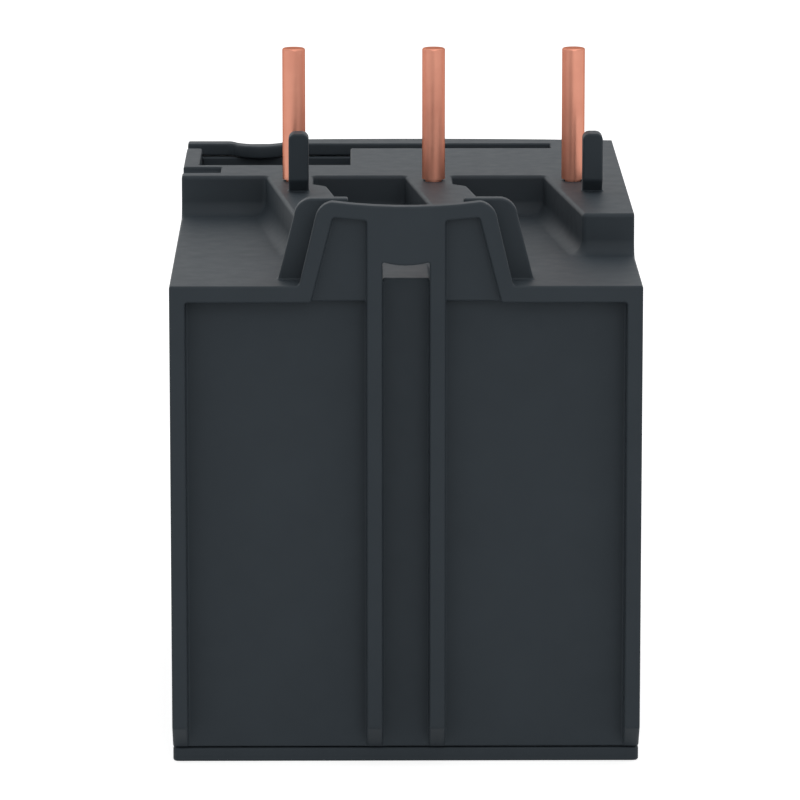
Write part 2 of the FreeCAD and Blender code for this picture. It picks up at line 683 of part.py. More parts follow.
def setting_dial():
    """The knob with its screwdriver slot, and its shaft through the fascia."""
    knob = body("SettingDialBody")
    pad(knob, "knob_disc", "XZ_Plane", (("dial_x", "dial_height"), "knob_radius"),
        "knob_back - knob_height", "knob_back")
    pad(knob, "knob_shaft", "XZ_Plane", (("dial_x", "dial_height"), "shaft_radius"),
        "knob_back - knob_height / 2", "-cam_front")
    pocket(knob, "driver_slot", "XZ_Plane", rectangle(
        ("dial_x - knob_radius * 2 / 3", "dial_x + knob_radius * 2 / 3"),
        ("dial_height - knob_slot / 2", "dial_height + knob_slot / 2")),
        "knob_back - knob_height - wall", "knob_back - knob_height + knob_slot_depth")
    return label(knob, "setting_dial")


def setting_cam():
    """A spiral cam: its radius grows evenly as the dial turns, by cam_rise over the whole range."""
    steps = 18
    base, rise, turn = value("cam_base"), value("cam_rise"), math.radians(value("cam_turn"))
    middle = FreeCAD.Vector(value("dial_x"), -value("cam_front"), value("dial_height"))
    points = []
    for step in range(steps + 1):
        angle = turn * step / steps
        radius = base + rise * step / steps
        points.append(middle + FreeCAD.Vector(math.sin(angle), 0, -math.cos(angle)) * radius)
    curve = Part.BSplineCurve()
    curve.interpolate(points)
    closing = [Part.LineSegment(points[-1], middle), Part.LineSegment(middle, points[0])]
    wire = Part.Wire([curve.toShape()] + [line.toShape() for line in closing])
    thick = value("cam_front - cam_back")
    cam = Part.Face(wire).extrude(FreeCAD.Vector(0, thick, 0))
    hub = Part.makeCylinder(base, thick, middle, FreeCAD.Vector(0, 1, 0))
    tail = Part.makeCylinder(value("shaft_radius") / 2, value("cam_back - shaft_end"),
                             middle + FreeCAD.Vector(0, thick, 0), FreeCAD.Vector(0, 1, 0))
    shape = doc.addObject("Part::Feature", "SettingCam")
    shape.Shape = cam.fuse([hub, tail]).removeSplitter()
    return label(shape, "setting_cam")


derive(nose_height="dial_height - cam_base - nose_gap - nose_radius")


def adjusting_lever():
    """The lever that follows the cam and trims the compensation lever."""
    lever = body("AdjustingLeverBody")
    eye = ("-boss_left", "boss_height")
    pad(lever, "lever_eye", "XZ_Plane", (eye, "boss_radius"), "-adjuster_front", "-adjuster_back")
    pad(lever, "lever_arm", "XZ_Plane", [
        ("-boss_left", "boss_height - boss_radius"), ("dial_x", "nose_height - nose_radius"),
        ("dial_x", "nose_height + nose_radius / 2"), ("-boss_left", "boss_height + boss_radius / 2")],
        "-adjuster_front", "-adjuster_back")
    pad(lever, "lever_nose", "XZ_Plane", (("dial_x", "nose_height"), "nose_radius"),
        "-adjuster_front", "-adjuster_back")
    pocket(lever, "lever_bore", "XZ_Plane", (eye, "adjuster_eye + pivot_play"),
           "-adjuster_front - wall", "-adjuster_back + wall")
    return label(lever, "adjusting_lever")


def adjusting_lever_pin():
    pin = rod("adjuster_pin_shape", "y", ("-boss_left", "boss_height"), "adjuster_eye",
              "fascia_back + boss_length", "-adjuster_back + wall / 2")
    return label(pin, "adjusting_lever_pin")


button_sizes = {
    "button_front": 33.3, "flange_radius": 3.3, "flange_thick": 0.8, "stem_radius": 1.4,
    "stem_nose": 1.2, "stem_play": 0.1, "stem_end": 18.5, "knob_gap": 0.3, "knob_wall": 1,
    "reset_slot": 1, "reset_slot_depth": 0.7, "spring_wire": 0.25, "spring_radius": 2.1,
    "guide_front": 21.5, "guide_back": 20, "guide_side": 3.7, "guide_over": 4.7, "spring_gap": 0.1,
}
number(button_sizes)
derive(flange_front="fascia_back + seam", flange_back="flange_front + flange_thick",
       guide_left="reset_right - guide_side", guide_top="button_height + guide_over",
       well_floor="button_height + flange_radius + well_clear + well_wall")


def reset_plunger():
    """The reset stem with the flange that keeps it behind the fascia."""
    at = ("reset_right", "button_height")
    stem = fuse("reset_plunger_shape",
                rod("reset_stem", "y", at, "stem_radius", "flange_front", "-stem_end"),
                rod("reset_flange", "y", at, "flange_radius", "flange_front", "flange_back"),
                rod("reset_nose", "y", at, "stem_nose", "-button_front + knob_wall + seam",
                    "flange_front + flange_thick / 2"))
    return label(stem, "reset_plunger")


def reset_knob():
    """The blue cap, which turns on the plunger between manual and automatic reset."""
    at = ("reset_right", "button_height")
    knob = cut("reset_knob_shape",
               rod("reset_cap", "y", at, "button_radius", "-button_front", "flange_front - knob_gap"),
               rod("reset_cap_bore", "y", at, "stem_nose + pivot_play", "-button_front + knob_wall",
                   "flange_front + wall"),
               box("reset_cap_slot", ("reset_right - button_radius * 2 / 3",
                   "reset_right + button_radius * 2 / 3"), ("-button_front - wall",
                   "-button_front + reset_slot_depth"), ("button_height - reset_slot / 2",
                   "button_height + reset_slot / 2")))
    return label(knob, "reset_knob")


def stop_button():
    """The red cap, its flange and stem in one piece."""
    at = ("stop_right", "button_height")
    button = fuse("stop_button_shape",
                  rod("stop_cap", "y", at, "button_radius", "-button_front", "flange_back"),
                  rod("stop_flange", "y", at, "flange_radius", "flange_front", "flange_back"),
                  rod("stop_stem", "y", at, "stem_radius", "flange_front", "-stem_end"))
    return label(button, "stop_button")


def coil(name, centre, axis, radius, wire, length, turns):
    """A helical spring or winding of round wire, starting at its centre point along an axis."""
    pitch = (length - 2 * wire) / turns
    spine = Part.makeHelix(pitch, pitch * turns, radius)
    profile = Part.Wire(Part.makeCircle(wire, FreeCAD.Vector(radius, 0, 0), FreeCAD.Vector(0, 1, 0)))
    solid = Part.Wire(spine.Edges).makePipeShell([profile], True, True)
    turned = doc.addObject("Part::Feature", name)
    turned.Shape = solid
    turned.Placement = FreeCAD.Placement(centre + axis * wire,
                                         FreeCAD.Rotation(FreeCAD.Vector(0, 0, 1), axis))
    return turned


def button_springs():
    """Return springs round the two stems, between the flanges and the guide wall."""
    for name, x in (("reset", "reset_right"), ("stop", "stop_right")):
        start = FreeCAD.Vector(value(x), value("flange_back + spring_gap"), value("button_height"))
        spring = coil(name + "_spring_coil", start, FreeCAD.Vector(0, 1, 0), value("spring_radius"),
                      value("spring_wire"), value("-guide_front - flange_back - 2 * spring_gap"), 6)
        label(spring, name + "_spring")


slider_sizes = {
    "slider_left": 3.6, "slider_right": 1.2, "slider_low": 43.2, "slider_high": 46.8,
    "slider_thick": 0.8, "test_knob_left": 2.4, "test_knob_right": 0.4, "test_knob_play": 0.15,
    "test_knob_front": 32.6,
}
number(slider_sizes)


def test_slider():
    """A small slide behind its slot in the fascia, with a tab to push it by."""
    plate = box("test_plate", ("-slider_left", "slider_right"),
                ("fascia_back + seam", "fascia_back + seam + slider_thick"), ("slider_low", "slider_high"))
    tab = box("test_tab", ("-test_knob_left", "-test_knob_right"),
              ("-test_knob_front", "fascia_back + seam + slider_thick / 2"),
              ("test_low + test_knob_play", "test_high - test_knob_play"))
    return label(fuse("test_slider_shape", plate, tab), "test_slider")


carrier_sizes = {
    "carrier_front": 29.2, "carrier_back": 28.6, "carrier_left": 4, "carrier_gap": 0.3,
    "carrier_reach": 2, "carrier_arm_low": 34.4, "carrier_arm_high": 36.2, "carrier_neck": 1.8,
    "flag_left": 2.15, "flag_thick": 0.5,
}
number(carrier_sizes)
derive(carrier_right="reset_right - flange_radius - carrier_gap")


def flag_carrier():
    """The black slide that the trip lever pulls across behind the window."""
    plate = body("FlagCarrierBody")
    pad(plate, "carrier_plate", "XZ_Plane", [
        ("-carrier_left", "carrier_arm_low"), ("-carrier_left + carrier_neck", "carrier_arm_low"),
        ("-carrier_left + carrier_neck", "flag_low"), ("carrier_right", "flag_low"),
        ("carrier_right", "flag_high"), ("-carrier_left", "flag_high"),
        ("-carrier_left", "carrier_arm_high"), ("-carrier_arm", "carrier_arm_high"),
        ("-carrier_arm", "carrier_arm_low")], "-carrier_front", "-carrier_back")
    return label(plate, "flag_carrier")


def trip_flag():
    """The orange plate that shows in the window after a trip."""
    flag = box("flag_plate", ("flag_left", "carrier_right"),
               ("-carrier_front - flag_thick", "-carrier_front"), ("flag_low", "flag_high"))
    return label(flag, "trip_flag")

# ---- poles -------------------------------------------------------------------------------

pole_sizes = {
    "pin_edge": 0.2, "pin_foot": 38.8, "lead_thick": 0.8, "lead_half": 1.5, "strip_thick": 1,
    "strip_front": 6.5, "strip_back": 13.5, "strip_foot": 18.6, "strip_top": 42.4, "tab_thick": 1.2,
    "tab_top": 24, "bar_half": 3, "bar_front": 12.4, "bar_thick": 1.2, "bar_foot": 4,
    "bar_top": 18.4, "bar_play": 0.2, "winding_radius": 4.3, "winding_wire": 0.5,
    "winding_low": 25.6, "winding_high": 37.4, "winding_turns": 7, "clamp_play": 0.3,
    "clamp_wall": 1, "clamp_low": 4.2, "clamp_high": 14.8, "screw_radius": 1.75, "screw_head": 3.1,
    "screw_head_thick": 2.2, "screw_slot": 0.9, "base_front": 3, "base_back": 17, "base_low": 12,
    "base_leg": 3.8, "partition_thick": 1.2, "partition_front": 1, "partition_back": 18,
    "partition_top": 39, "lead_reach": 3,
}
number(pole_sizes)
derive(strip_middle="(strip_front + strip_back) / 2", bar_back="-bar_front + bar_thick",
       base_top="bar_top - bar_thick")


def phase_pins():
    for pole in range(3):
        pin = body(f"PhasePin{pole + 1}Body")
        pad(pin, f"pin_{pole + 1}_root", "XY_Plane", ((pin_x(pole), "-pin_row"), "pin_neck"),
            "pin_foot", "body_height + pin_shoulder")
        pad(pin, f"pin_{pole + 1}_shank", "XY_Plane", ((pin_x(pole), "-pin_row"), "pin_radius"),
            "body_height + pin_shoulder", "pin_top")
        round_edges(pin, f"pin_{pole + 1}_round", "pin_edge", lambda edge: at_height(edge, value("pin_top")))
        label(pin, f"phase_pin_{pole + 1}")


def bimetals():
    """A flat strip that stands on its bar; the bar's tab is on its right face."""
    for pole in range(3):
        x = pole_x(pole)
        strip = box(f"bimetal_strip_{pole + 1}", (f"{x} - strip_thick", x), ("strip_front", "strip_back"),
                    ("strip_foot", "strip_top"))
        label(strip, f"bimetal_{pole + 1}")


def heaters():
    """A coil round each strip, with a foot welded to the strip and a head that takes the lead."""
    for pole in range(3):
        x = value(pole_x(pole)) - value("strip_thick") / 2
        y, radius, wire = value("strip_middle"), value("winding_radius"), value("winding_wire")
        low, high = value("winding_low"), value("winding_high")
        winding = coil(f"heater_coil_{pole + 1}", FreeCAD.Vector(x, y, low), FreeCAD.Vector(0, 0, 1),
                       radius, wire, high - low, int(value("winding_turns")))
        foot = Part.makeBox(radius, 2 * wire, 2 * wire, FreeCAD.Vector(
            x + value("strip_thick") / 2, y - wire, low - wire / 2))
        heater = doc.addObject("Part::Feature", f"Heater{pole + 1}")
        head = Part.makeCylinder(wire, value("pin_foot - lead_thick") - high + 3 * wire,
                                 FreeCAD.Vector(x + radius, y, high - 3 * wire))
        heater.Shape = winding.Shape.fuse([foot, head])
        doc.removeObject(winding.Name)
        label(heater, f"heater_{pole + 1}")


def pole_leads():
    """A flat copper lead from the foot of each pin to the head of its heater."""
    for pole in range(3):
        pin, post = pin_x(pole), f"({pole_x(pole)} - strip_thick / 2 + winding_radius)"
        right, left = f"{post} + lead_half / 2", f"{post} - lead_half / 2"
        end = "strip_middle + lead_half / 2"
        lead = body(f"PoleLead{pole + 1}Body")
        pad(lead, f"lead_{pole + 1}_strip", "XY_Plane", [
            (f"{pin} - lead_half", "-pin_row - lead_half"), (f"{pin} + lead_half", "-pin_row - lead_half"),
            (right, "lead_reach"), (right, end), (left, end), (left, "lead_reach")],
            "pin_foot - lead_thick", "pin_foot")
        label(lead, f"pole_lead_{pole + 1}")


def power_bars():
    """Copper bar of each pole: down into the cage clamp, back over the base, up beside the strip."""
    for pole in range(3):
        x = pole_x(pole)
        bar = fuse(f"power_bar_shape_{pole + 1}",
                   box(f"bar_drop_{pole + 1}", (f"{x} - bar_half", f"{x} + bar_half"),
                       ("-bar_front", "bar_back"), ("bar_foot", "bar_top")),
                   box(f"bar_run_{pole + 1}", (f"{x} - bar_half", f"{x} + bar_half"),
                       ("-bar_front", "strip_back"), ("base_top", "bar_top")),
                   box(f"bar_tab_{pole + 1}", (x, f"{x} + tab_thick"), ("strip_front", "strip_back"),
                       ("base_top", "tab_top")))
        label(bar, f"power_bar_{pole + 1}")


derive(clamp_half="cell_half - clamp_play", clamp_front="power_back + clamp_play",
       clamp_back="bar_back + clamp_wall + seam / 2")


def power_clamps():
    """A cage round the bar's foot that the screw draws up on the wire."""
    for pole in range(3):
        x = pole_x(pole)
        cage = cut(f"power_clamp_shape_{pole + 1}",
                   box(f"cage_block_{pole + 1}", (f"{x} - clamp_half", f"{x} + clamp_half"),
                       ("clamp_front", "clamp_back"), ("clamp_low", "clamp_high")),
                   box(f"cage_hole_{pole + 1}",
                       (f"{x} - clamp_half + clamp_wall", f"{x} + clamp_half - clamp_wall"),
                       ("clamp_front + 2 * clamp_wall", "clamp_back - clamp_wall"),
                       ("clamp_low - wall", "clamp_high + wall")),
                   rod(f"cage_thread_{pole + 1}", "y", (x, "power_screw_height"), "screw_radius",
                       "clamp_front - wall", "clamp_front + 2 * clamp_wall + seam"))
        label(cage, f"power_clamp_{pole + 1}")


def slotted_screw(name, x, z, head_front, shank_end, head_radius, shank_radius, head_thick):
    """A cheese-head screw along +Y with a straight slot."""
    return cut(name,
               fuse(name + "_solid",
                    rod(name + "_head", "y", (x, z), head_radius, head_front, f"{head_front} + {head_thick}"),
                    rod(name + "_shank", "y", (x, z), shank_radius, f"{head_front} + {head_thick} / 2",
                        shank_end)),
               box(name + "_slot", (f"{x} - {head_radius} - wall", f"{x} + {head_radius} + wall"),
                   (f"{head_front} - wall", f"{head_front} + {head_thick} / 2"),
                   (f"{z} - screw_slot / 2", f"{z} + screw_slot / 2")))


def power_clamp_screws():
    screws = [slotted_screw(f"power_screw_{pole + 1}", pole_x(pole), "power_screw_height",
                            "clamp_front - screw_head_thick - seam", "clamp_front + 3 * clamp_wall",
                            "screw_head", "screw_radius", "screw_head_thick") for pole in range(3)]
    return label(group("power_screw_set", *screws), "power_clamp_screws")


def pole_base():
    """The insulating block on legs that carries the bars."""
    sides = [("-block_side", "-block_side + base_leg"), ("block_side - base_leg", "block_side")]
    legs = [box(f"base_leg_{index + 1}", side, ("base_front", "base_back"), ("foot_plate", "base_low + wall"))
            for index, side in enumerate(sides)]
    top = box("base_top_block", ("-block_side", "block_side"), ("-block_back", "base_back"),
              ("base_low", "base_top"))
    return label(fuse("pole_base_shape", top, *legs), "pole_base")


def pole_partitions():
    """Two insulating walls between the poles; the slide bar runs over their tops."""
    for index, x in enumerate(("pole_pitch / 2", "-pole_pitch / 2")):
        wall = box(f"partition_wall_{index + 1}",
                   (f"{x} - partition_thick / 2", f"{x} + partition_thick / 2"),
                   ("partition_front", "partition_back"), ("base_top", "partition_top"))
        label(wall, f"pole_partition_{index + 1}")


# ---- differential slides -----------------------------------------------------------------

slide_bar_sizes = {
    "bar_front_edge": 3.5, "bar_rear_edge": 16.5, "slide_low": 39.8, "slide_thick": 1.2,
    "slide_gap": 1.6, "slide_travel": 2.4, "diff_gap": 0.3, "diff_travel": 1.5,
    "window_play": 0.35, "push_gap": 1, "push_width": 1.6, "push_front": 0.2,
    "diff_lever_edge": 1.8, "diff_pivot_y": 5.6, "diff_lever_arm": 8, "peg_radius": 0.8,
    "peg_play": 0.15, "diff_lever_half": 1.5, "diff_lever_thick": 0.9, "window_side": 0.8,
}
number(slide_bar_sizes)
derive(slide_left="inner - slide_gap", slide_right="inner - slide_gap - slide_travel",
       diff_lever_x="slide_left - diff_lever_edge",
       slide_high="slide_low + slide_thick", diff_low="slide_high + diff_gap",
       diff_high="diff_low + slide_thick", lever_low="diff_high + diff_gap / 2")


def slide_window(name, pole, left, right, z):
    x = pole_x(pole)
    return box(f"{name}_window_{pole + 1}", (f"{x} - ({left})", f"{x} + {right}"),
               ("strip_front - window_side", "strip_back + window_side"), z)


def slide_bar():
    """The lower slide that the heated strips push to the right; its tab moves the compensation lever."""
    z = ("slide_low", "slide_high")
    plate = box("slide_plate", ("-slide_left", "slide_right"), ("bar_front_edge", "bar_rear_edge"), z)
    tab = box("slide_tab", ("-push_left", "-push_right"), ("push_front", "bar_front_edge + wall"), z)
    pivot = rod("slide_pivot", "z", ("-diff_lever_x", "diff_pivot_y"), "peg_radius", "slide_low",
                "lever_low + diff_lever_thick")
    windows = [slide_window("slide", pole, "strip_thick + slide_travel + window_play", "seam",
                            ("slide_low - wall", "slide_high + seam")) for pole in range(3)]
    return label(cut("slide_bar_shape", fuse("slide_bar_solid", plate, tab, pivot), *windows), "slide_bar")


def differential_bar():
    """The upper slide, which lags behind when one pole stays cold."""
    z = ("diff_low", "diff_high")
    plate = box("diff_plate", ("-slide_left", "slide_right"), ("bar_front_edge", "bar_rear_edge"), z)
    peg = rod("diff_peg", "z", ("-diff_lever_x", "diff_pivot_y + diff_lever_arm"), "peg_radius", "diff_low",
              "lever_low + diff_lever_thick")
    windows = [slide_window("diff", pole, "strip_thick + slide_travel + window_play",
                            "diff_travel + window_play", ("diff_low - seam", "diff_high + wall"))
               for pole in range(3)]
    pivot_slot = box("diff_pivot_slot", ("-diff_lever_x - peg_radius - peg_play",
                     "-diff_lever_x + peg_radius + peg_play + diff_travel"),
                     ("diff_pivot_y - peg_radius - peg_play", "diff_pivot_y + peg_radius + peg_play"),
                     ("diff_low - seam", "diff_high + wall"))
    solid = fuse("differential_bar_solid", plate, peg)
    return label(cut("differential_bar_shape", solid, *windows, pivot_slot), "differential_bar")


def differential_lever():
    """The small lever that ties the two slides together."""
    low, high = "lever_low", "lever_low + diff_lever_thick"
    far = "diff_pivot_y + diff_lever_arm"
    plate = box("diff_lever_plate", ("-diff_lever_x - diff_lever_half", "-diff_lever_x + diff_lever_half"),
                ("diff_pivot_y - diff_lever_half", f"{far} + diff_lever_half"), (low, high))
    eye = rod("diff_lever_eye", "z", ("-diff_lever_x", "diff_pivot_y"), "peg_radius + pivot_play",
              f"{low} - wall", f"{high} + wall")
    slot = box("diff_lever_slot", ("-diff_lever_x - peg_radius - peg_play",
               "-diff_lever_x + peg_radius + peg_play"),
               (f"{far} - peg_radius - 2 * peg_play", f"{far} + peg_radius + 2 * peg_play"),
               (f"{low} - wall", f"{high} + wall"))
    return label(cut("differential_lever_shape", plate, eye, slot), "differential_lever")


# ---- trip mechanism ----------------------------------------------------------------------

mechanism_sizes = {
    "chassis_thick": 1.6, "chassis_front": 27.3, "chassis_back": 7.6, "chassis_play": 0.1,
    "comp_set": 11.7, "comp_y": 9.5, "comp_rear": 1.6, "comp_front": 19.5, "comp_thick": 1.2,
    "hub_radius": 1.8, "axle_radius": 0.9, "trip_hub_radius": 1.3, "comp_arm_low": 39.2,
    "comp_arm_high": 42.4, "comp_nose_low": 36.4, "comp_nose_high": 37.8, "hub_low": 32.2,
    "trip_set": 6.7, "trip_end": 28.3, "trip_arm_low": 34.6, "trip_arm_high": 36, "trip_thick": 1.2,
    "trip_hub_top": 38, "blade_thick": 0.3, "blade_low": 32, "blade_high": 35.7, "blade_root": 11.2,
    "blade_tip": 24, "nc_set": 3.1, "no_set": 9.7, "rivet_radius": 0.7, "rivet_height": 32.9,
    "rivet_out": 0.4, "contact_gap": 1.05, "contact_touch": 0.03, "rivet_y": 23, "post_thick": 0.8,
    "post_half": 1, "strip_height": 0.5, "holder_length": 1.6, "axle_top_play": 0.4, "plate_y": 22,
    "plate_thick": 0.8, "plate_top": 28.4, "plate_half": 3.4, "washer_half": 2.9,
    "washer_thick": 0.8, "control_screw_radius": 1.25, "control_head_radius": 2.6,
    "control_head_thick": 1.8, "washer_gap": 1.1,
}
number(mechanism_sizes)
derive(chassis_low="deck_of_block + chassis_play", chassis_high="chassis_low + chassis_thick",
       comp_x="inner - comp_set", trip_x="inner - trip_set", nc_blade="inner - nc_set",
       no_blade="inner - no_set", carrier_arm="trip_x - carrier_reach", push_right="comp_x + push_gap",
       push_left="push_right + push_width")


def chassis_plate():
    """The plate over the terminal block that carries the axles, and the wall that guides the stems."""
    deck = box("chassis_deck", ("-block_side", "block_side"), ("-chassis_front", "-chassis_back"),
               ("chassis_low", "chassis_high"))
    guide = box("chassis_guide", ("guide_left", "block_side"), ("-guide_front", "-guide_back"),
                ("chassis_low", "guide_top"))
    holes = [rod(f"guide_hole_{name}", "y", (x, "button_height"), "stem_radius + stem_play",
                 "-guide_front - wall", "-guide_back + wall")
             for name, x in (("reset", "reset_right"), ("stop", "stop_right"))]
    slots = [box(f"riser_slot_{place + 1}", (f"{control_x(place)} - post_half - seam",
                 f"{control_x(place)} + post_half + seam"), riser_span(place),
                 ("chassis_low - wall", "chassis_high + wall")) for place in range(4)]
    axles = [rod(f"axle_hole_{name}", "z", (f"-{x}", "-comp_y"), "axle_radius", "chassis_low - wall",
                 "chassis_high + wall") for name, x in (("comp", "comp_x"), ("trip", "trip_x"))]
    return label(cut("chassis_shape", fuse("chassis_solid", deck, guide), *holes, *slots, *axles),
                 "chassis_plate")


RISER_Y = ("-rivet_y", "-rivet_y", "-blade_root - 2 * holder_length", "-comp_front + holder_length")


def riser_span(place, play="seam"):
    """Where a terminal's riser passes through the chassis, front to back."""
    return (f"{RISER_Y[place]} - post_half - {play}", f"{RISER_Y[place]} + post_half + {play}")


def terminal(name, place, extra):
    """A control terminal: plate behind the screw, run to its riser, riser, and what it carries."""
    x = control_x(place)
    wide = (f"{x} - plate_half", f"{x} + plate_half")
    narrow = (f"{x} - post_half", f"{x} + post_half")
    riser = riser_span(place, "0")
    plate = box(name + "_plate", wide, ("-plate_y", "-plate_y + plate_thick"), ("control_floor", "plate_top"))
    run = box(name + "_run", narrow,
              (f"min(-plate_y; {riser[0]})", f"max(-plate_y + plate_thick; {riser[1]})"),
              ("plate_top - plate_thick", "plate_top"))
    rise = box(name + "_riser", narrow, riser, ("plate_top - plate_thick", "chassis_high + strip_height"))
    bore = rod(name + "_bore", "y", (x, "control_screw_height"), "control_screw_radius", "-plate_y - wall",
               "-plate_y + plate_thick + wall")
    return label(cut(name + "_shape", fuse(name + "_solid", plate, run, rise, *extra), bore), name)


derive(strip_z_low="chassis_high", strip_z_high="chassis_high + strip_height")


def flat_run(name, x, y):
    """A flat strip of a terminal on the chassis."""
    return box(name, x, y, ("strip_z_low", "strip_z_high"))


def contact_post(name, side_low, side_high, rivet_low, rivet_high):
    """A fixed contact: an upright with a rivet that faces the blade."""
    upright = box(name + "_upright", (side_low, side_high), ("-rivet_y - post_half", "-rivet_y + post_half"),
                  ("strip_z_low", "rivet_height + rivet_radius"))
    rivet = rod(name + "_rivet", "x", ("-rivet_y", "rivet_height"), "rivet_radius", rivet_low, rivet_high)
    return [upright, rivet]


def fixed_contacts():
    """The normally closed pair touches at rest, the normally open pair stands apart."""
    nc_face = "-nc_blade + blade_thick / 2 + rivet_out + contact_touch"
    terminal("nc_fixed_contact", 0, contact_post("nc_post", f"{nc_face} + rivet_out",
             f"{nc_face} + rivet_out + post_thick", nc_face, f"{nc_face} + rivet_out + post_thick / 2")
             + [flat_run("nc_post_run", (f"{nc_face} + rivet_out", f"{control_x(0)} + post_half"),
                         ("-rivet_y - post_half", "-rivet_y + post_half"))])
    no_face = "-no_blade - blade_thick / 2 - rivet_out - contact_gap"
    terminal("no_fixed_contact", 1, contact_post("no_post", f"{no_face} - rivet_out - post_thick",
             f"{no_face} - rivet_out", f"{no_face} - rivet_out - post_thick / 2", no_face)
             + [flat_run("no_post_run",
                         (f"{no_face} - rivet_out - post_thick", f"{control_x(1)} + post_half"),
                         ("-rivet_y - post_half", "-rivet_y + post_half"))])


def blade_holder(name, blade):
    """The upright that a blade is riveted to, behind its root."""
    return box(name, (f"-{blade} - blade_thick / 2 - post_thick", f"-{blade} - blade_thick / 2"),
               ("-blade_root + seam", "-blade_root + holder_length"), ("strip_z_low", "blade_high"))


def blade_terminals():
    """The two terminals whose uprights hold the moving blades."""
    y_no = riser_span(2, "0")
    terminal("no_blade_terminal", 2, [
        blade_holder("no_holder", "no_blade"),
        flat_run("no_run", ("-no_blade - post_half", f"{control_x(2)} + post_half"), y_no),
        flat_run("no_run_back", ("-no_blade - post_half", "-no_blade + post_half"),
                 (y_no[0], "-blade_root + holder_length"))])
    y_nc = riser_span(3, "0")
    terminal("nc_blade_terminal", 3, [
        blade_holder("nc_holder", "nc_blade"),
        flat_run("nc_run", ("-nc_blade - post_half", f"{control_x(3)} + post_half"), y_nc),
        flat_run("nc_run_back", ("-nc_blade - post_half", "-nc_blade + post_half"),
                 (y_nc[0], "-blade_root + holder_length"))])


def moving_contacts():
    """Spring blades with a rivet near the tip."""
    for name, blade, side in (("nc_moving_contact", "nc_blade", 1), ("no_moving_contact", "no_blade", -1)):
        leaf = box(name + "_leaf", (f"-{blade} - blade_thick / 2", f"-{blade} + blade_thick / 2"),
                   ("-blade_tip", "-blade_root"), ("blade_low", "blade_high"))
        faces = [f"-{blade}", f"-{blade} + {side} * (blade_thick / 2 + rivet_out)"]
        low, high = faces if side > 0 else faces[::-1]
        rivet = rod(name + "_rivet", "x", ("-rivet_y", "rivet_height"), "rivet_radius", low, high)
        label(fuse(name + "_shape", leaf, rivet), name)


def compensation_lever():
    """Turned by the slide bar's tab at the back, it moves the trip lever at the front."""
    arm = box("comp_arm", ("-comp_x - comp_thick / 2", "-comp_x + comp_thick / 2"),
              ("-comp_y", "comp_rear"), ("comp_arm_low", "comp_arm_high"))
    nose = box("comp_nose", ("-comp_x - comp_thick / 2", "-comp_x + comp_thick / 2"),
               ("-comp_front", "-comp_y"), ("comp_nose_low", "comp_nose_high"))
    hub = rod("comp_hub", "z", ("-comp_x", "-comp_y"), "hub_radius", "hub_low", "comp_arm_high")
    bore = rod("comp_bore", "z", ("-comp_x", "-comp_y"), "axle_radius + pivot_play", "hub_low - wall",
               "comp_arm_high + wall")
    solid = fuse("comp_lever_solid", arm, nose, hub)
    return label(cut("comp_lever_shape", solid, bore), "compensation_lever")


def trip_lever():
    """Opens the closed pair, lets the open pair close and pulls the flag across."""
    arm = box("trip_arm", ("-trip_x - trip_thick / 2", "-trip_x + trip_thick / 2"), ("-trip_end", "-comp_y"),
              ("trip_arm_low", "trip_arm_high"))
    horn = box("trip_horn", ("-trip_x - trip_thick / 2", "-comp_x - comp_thick / 2 - diff_gap"),
               ("-comp_front", "-comp_front + holder_length"), ("trip_arm_high - seam", "comp_nose_high"))
    hub = rod("trip_hub", "z", ("-trip_x", "-comp_y"), "trip_hub_radius", "hub_low", "trip_hub_top")
    bore = rod("trip_bore", "z", ("-trip_x", "-comp_y"), "axle_radius + pivot_play", "hub_low - wall",
               "trip_hub_top + wall")
    return label(cut("trip_lever_shape", fuse("trip_lever_solid", arm, horn, hub), bore), "trip_lever")


def lever_axles():
    for name, x, top in (("compensation_axle", "comp_x", "comp_arm_high"),
                         ("trip_axle", "trip_x", "trip_hub_top")):
        label(rod(name + "_shape", "z", (f"-{x}", "-comp_y"), "axle_radius", "chassis_low",
                  f"{top} + axle_top_play"), name)


def control_washers():
    squares = [cut(f"washer_{place + 1}",
                   box(f"washer_block_{place + 1}", (f"{control_x(place)} - washer_half",
                       f"{control_x(place)} + washer_half"), ("-plate_y - washer_gap - washer_thick",
                       "-plate_y - washer_gap"), ("control_screw_height - washer_half",
                       "control_screw_height + washer_half")),
                   rod(f"washer_bore_{place + 1}", "y", (control_x(place), "control_screw_height"),
                       "control_screw_radius + seam", "-plate_y - washer_gap - 2 * washer_thick", "-plate_y"))
               for place in range(4)]
    return label(group("washer_set", *squares), "control_clamp_washers")


def control_screws():
    front = "-plate_y - washer_gap - washer_thick - control_head_thick - contact_touch"
    screws = [slotted_screw(f"control_screw_{place + 1}", control_x(place), "control_screw_height", front,
                            "-plate_y + 2 * plate_thick", "control_head_radius", "control_screw_radius",
                            "control_head_thick") for place in range(4)]
    return label(group("control_screw_set", *screws), "control_terminal_screws")


trip_spring_sizes = {
    "torsion_radius": 1.6, "torsion_wire": 0.15, "torsion_high": 34.3, "torsion_low": 32.3,
    "torsion_turns": 3,
}
number(trip_spring_sizes)


def trip_spring():
    """A small coil round the trip lever's hub."""
    low, high = value("torsion_low"), value("torsion_high")
    spring = coil("trip_spring_coil", FreeCAD.Vector(-value("trip_x"), -value("comp_y"), low),
                  FreeCAD.Vector(0, 0, 1), value("torsion_radius"), value("torsion_wire"), high - low,
                  int(value("torsion_turns")))
    return label(spring, "trip_spring")


